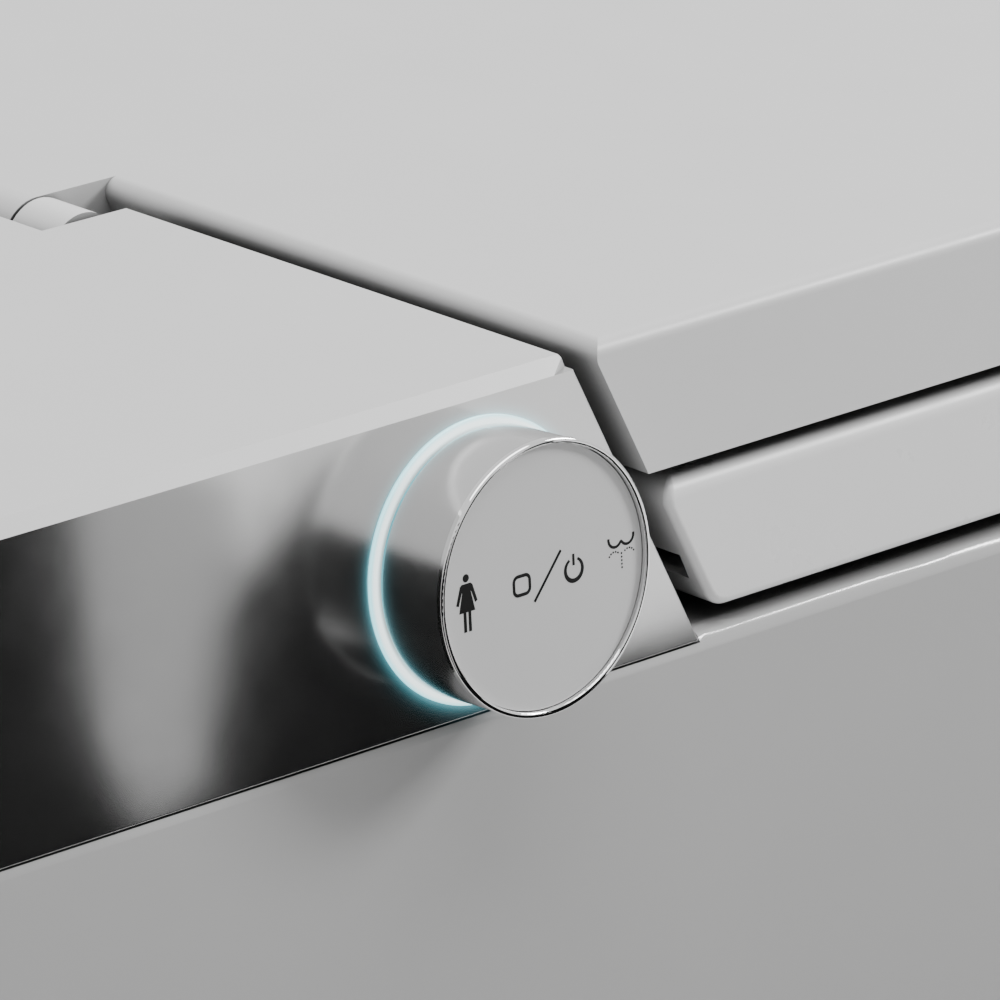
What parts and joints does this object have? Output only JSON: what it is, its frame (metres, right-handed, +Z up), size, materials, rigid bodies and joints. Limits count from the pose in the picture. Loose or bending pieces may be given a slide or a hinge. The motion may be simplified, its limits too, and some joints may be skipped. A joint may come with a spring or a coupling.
{
  "type": "smart toilet",
  "caption": "Floor-standing smart toilet with heated seat, soft-close lid, flat rear housing, spray wand, warm-air dryer and a side control knob with a light ring.",
  "frame": {"origin": "centre of the waste outlet, on the floor plane", "axes": "+Z up, -Y toward the front of the bowl, +Y toward the wall, control knob on the -X side"},
  "size_m": [0.4176, 0.6977, 0.4724],
  "materials": {
    "vitreous_china": "gloss glaze",
    "cap_plastic": "gloss",
    "cover_plastic": "satin",
    "gloss_panel": "high gloss",
    "lid_plastic": "satin",
    "seat_plastic": "satin",
    "dark_plastic": "matt",
    "black_plastic": "matt",
    "rubber": "matt",
    "screw_steel": "satin",
    "bracket_steel": "zinc plated",
    "heater_foil": "foil",
    "knob_metal": "satin",
    "chrome": "polished",
    "knob_face": "satin",
    "ring_glow": "lit translucent",
    "circuit_board": "solder mask",
    "wand_steel": "polished",
    "wand_tip": "gloss",
    "gear_plastic": "natural",
    "brass": "machined",
    "valve_plastic": "natural",
    "hose_silicone": "satin",
    "float_foam": "matt"
  },
  "bodies": {
    "root": {"ceramic_bowl": "vitreous_china", "fixing_caps": "cap_plastic", "rear_chassis": "dark_plastic", "chassis_gaskets": "rubber", "housing_cover": "cover_plastic", "side_panel_knob": "gloss_panel", "side_panel_plain": "gloss_panel", "back_panel": "cover_plastic", "back_screws": "screw_steel", "front_apron": "dark_plastic", "hinge_brackets": "bracket_steel", "hinge_pins": "screw_steel", "knob_bushing": "screw_steel", "encoder_housing": "black_plastic", "press_switch": "black_plastic", "light_ring": "ring_glow", "ring_light_board": "circuit_board", "wand_guide": "black_plastic", "wand_motor": "bracket_steel", "dryer_duct": "dark_plastic", "dryer_heater": "heater_foil", "dryer_volute": "black_plastic", "dryer_motor": "bracket_steel", "inlet_fitting": "brass", "inlet_filter": "wand_steel", "solenoid_valve": "valve_plastic", "water_heater": "valve_plastic", "wash_selector": "gear_plastic", "water_hoses": "hose_silicone", "air_pump": "bracket_steel", "control_board": "circuit_board", "power_supply": "bracket_steel", "mains_gland": "black_plastic", "flush_tank": "valve_plastic", "tank_cover": "valve_plastic", "float_stem": "gear_plastic", "pump_housing": "black_plastic", "pump_motor": "bracket_steel", "flush_pipe": "hose_silicone"},
    "seat": {"seat_shell": "seat_plastic", "seat_base": "seat_plastic", "seat_heater": "heater_foil", "seat_bumpers": "rubber"},
    "lid": {"lid_shell": "lid_plastic", "lid_panel": "lid_plastic", "lid_bumpers": "rubber", "hinge_bushings": "black_plastic", "hinge_dampers": "black_plastic"},
    "knob_plunger": {"knob_plunger": "black_plastic"},
    "knob": {"knob_skirt": "knob_metal", "knob_bezel": "chrome", "knob_face": "knob_face", "knob_shaft": "screw_steel"},
    "wand": {"wand_tube": "wand_steel", "wand_tip": "wand_tip"},
    "pinion": {"wand_pinion": "gear_plastic"},
    "dryer_fan": {"dryer_impeller": "gear_plastic"},
    "flap": {"dryer_flap": "cover_plastic"},
    "flush_impeller": {"pump_impeller": "gear_plastic"},
    "float": {"level_float": "float_foam"}
  },
  "joints": [
    {"name": "seat_hinge", "type": "hinge", "parent": "root", "child": "seat", "pos_m": [0, 0.084, 0.4624], "axis": [1, 0, 0], "range_deg": [-95, 0]},
    {"name": "lid_hinge", "type": "hinge", "parent": "seat", "child": "lid", "pos_m": [0, 0.084, 0.4624], "axis": [-1, 0, 0], "range_deg": [0, 100]},
    {"name": "knob_press", "type": "slide", "parent": "root", "child": "knob_plunger", "axis": [0.9979, 0, -0.0654], "range_m": [0, 0.0015], "stiffness_N_per_m": 2000},
    {"name": "knob_turn", "type": "hinge", "parent": "knob_plunger", "child": "knob", "pos_m": [-0.195, 0.1, 0.4332], "axis": [-0.9979, 0, 0.0654], "range_deg": [-40, 40], "stiffness_Nm_per_rad": 0.15},
    {"name": "wand_slide", "type": "slide", "parent": "root", "child": "wand", "axis": [0, -0.9063, -0.4226], "range_m": [0, 0.09]},
    {"name": "pinion_spin", "type": "hinge", "parent": "root", "child": "pinion", "pos_m": [-0.0206, 0.07138, 0.40436], "axis": [0, -0.4226, 0.9063], "range_deg": [-720, 720]},
    {"name": "fan_spin", "type": "hinge", "parent": "root", "child": "dryer_fan", "pos_m": [0.066, 0.18, 0.43], "axis": [0, 0, 1], "continuous": true},
    {"name": "flap_hinge", "type": "hinge", "parent": "root", "child": "flap", "pos_m": [0.038, 0.0106, 0.396], "axis": [-1, 0, 0], "range_deg": [0, 60]},
    {"name": "flush_spin", "type": "hinge", "parent": "root", "child": "flush_impeller", "pos_m": [-0.098, 0.185, 0.3], "axis": [0, 0, 1], "continuous": true},
    {"name": "float_rise", "type": "slide", "parent": "root", "child": "float", "axis": [0, 0, 1], "range_m": [0, 0.072]}
  ],
  "couplings": [
    {"joint": "pinion_spin", "follows": "wand_slide", "rad_per_m": -125}
  ]
}
